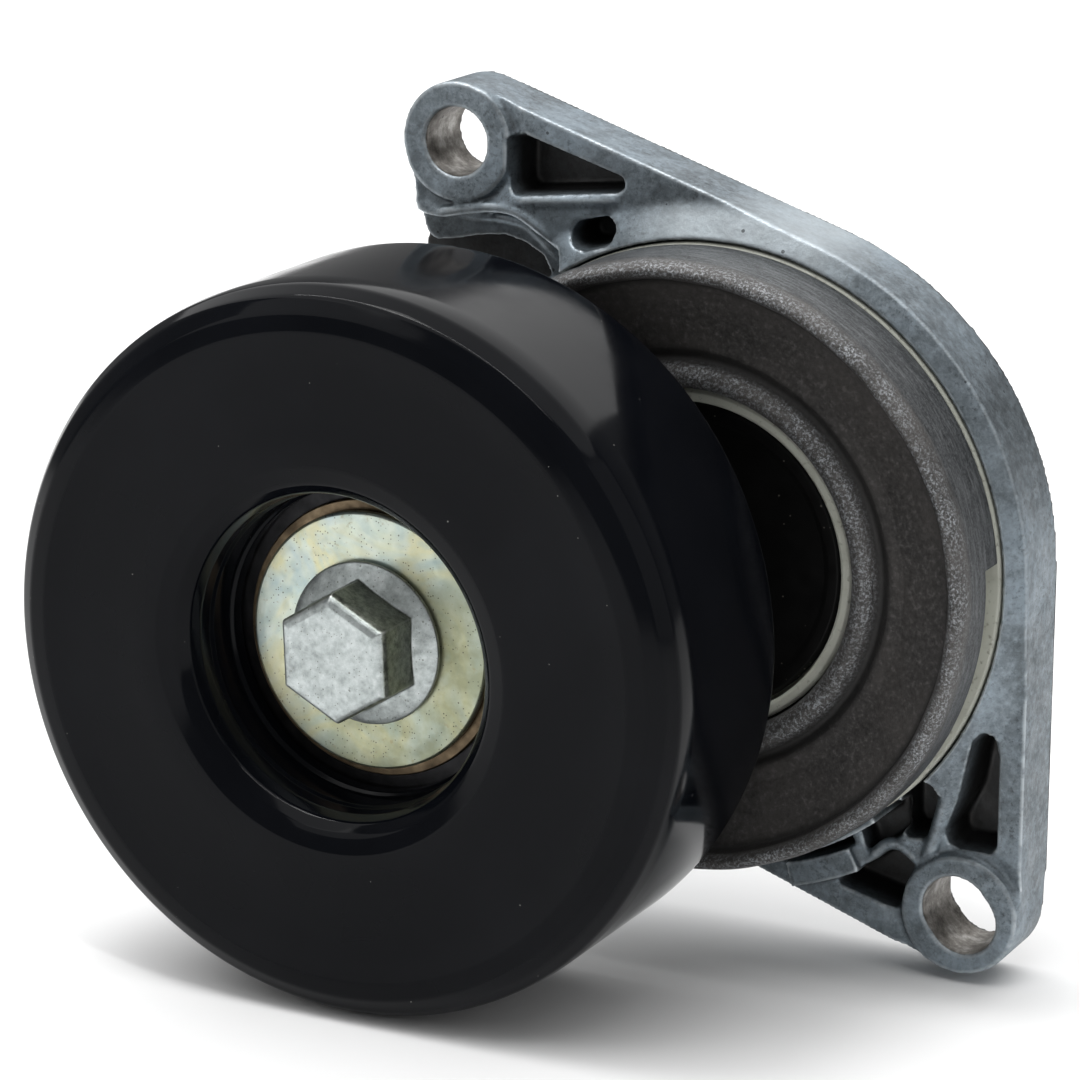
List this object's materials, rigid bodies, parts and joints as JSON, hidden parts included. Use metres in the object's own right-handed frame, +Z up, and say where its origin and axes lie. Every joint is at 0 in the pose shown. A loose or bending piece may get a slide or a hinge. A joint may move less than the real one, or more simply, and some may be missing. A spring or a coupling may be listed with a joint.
{
  "type": "belt tensioner idler",
  "caption": "Spring-loaded belt tensioner: a flat idler pulley on a swinging cup arm over a die-cast two-ear bracket.",
  "frame": {"origin": "arm pivot axis at the bracket's rear mounting face", "axes": "+Y out of the rear mounting face along the pivot axis, the pulley towards -Y; +Z up, towards the round-holed ear; +X towards the slotted ear's side wall"},
  "size_m": [0.1144, 0.0565, 0.1062],
  "materials": {
    "cast_aluminium": "as-cast grey, mottled, with machined ear faces",
    "black_paint": "satin black with dust",
    "cream_polymer": "cream low-friction polymer",
    "spring_steel": "dark spring steel",
    "phosphated_steel": "dark grey phosphated pressing, worn lighter on the rims",
    "bearing_steel": "ground bearing steel",
    "seal_rubber": "black rubber",
    "cage_steel": "pressed steel",
    "pulley_black": "gloss black enamel with fine dust",
    "shield_steel": "plain steel",
    "chromated_shield": "yellow-brown chromated steel",
    "zinc_plate": "pale zinc plating with a faint yellow and blue-green tint",
    "bolt_steel": "pale zinc-plated steel, lightly speckled"
  },
  "bodies": {
    "fixed": {"bracket": "cast_aluminium", "pivot_pin": "black_paint", "pivot_bush": "cream_polymer", "damper_ring": "cream_polymer", "torsion_spring": "spring_steel"},
    "arm": {"arm_cup": "phosphated_steel", "bearing_inner_ring": "bearing_steel", "rear_shield": "shield_steel", "front_shield": "chromated_shield", "zinc_washer": "zinc_plate", "pulley_bolt": "bolt_steel"},
    "pulley": {"pulley_shell": "pulley_black", "bearing_outer_ring": "bearing_steel", "front_seal": "seal_rubber", "rear_seal": "seal_rubber"},
    "cage": {"ball_cage": "cage_steel", "bearing_ball_1": "bearing_steel", "bearing_ball_2": "bearing_steel", "bearing_ball_3": "bearing_steel", "bearing_ball_4": "bearing_steel", "bearing_ball_5": "bearing_steel", "bearing_ball_6": "bearing_steel", "bearing_ball_7": "bearing_steel", "bearing_ball_8": "bearing_steel"}
  },
  "joints": [
    {"name": "arm_pivot", "type": "hinge", "parent": "fixed", "child": "arm", "pos_m": [0, 0, 0], "axis": [0, 1, 0], "range_deg": [0, 56], "stiffness_Nm_per_rad": 17, "springref_deg": -50.42, "deforming": ["torsion_spring"]},
    {"name": "pulley_spin", "type": "hinge", "parent": "arm", "child": "pulley", "pos_m": [-0.0282, -0.038, -0.0063], "axis": [0, 1, 0], "continuous": true},
    {"name": "cage_spin", "type": "hinge", "parent": "arm", "child": "cage", "pos_m": [-0.0282, -0.038, -0.0063], "axis": [0, 1, 0], "continuous": true}
  ],
  "couplings": [
    {"joint": "cage_spin", "follows": "pulley_spin", "ratio": 0.6175}
  ]
}
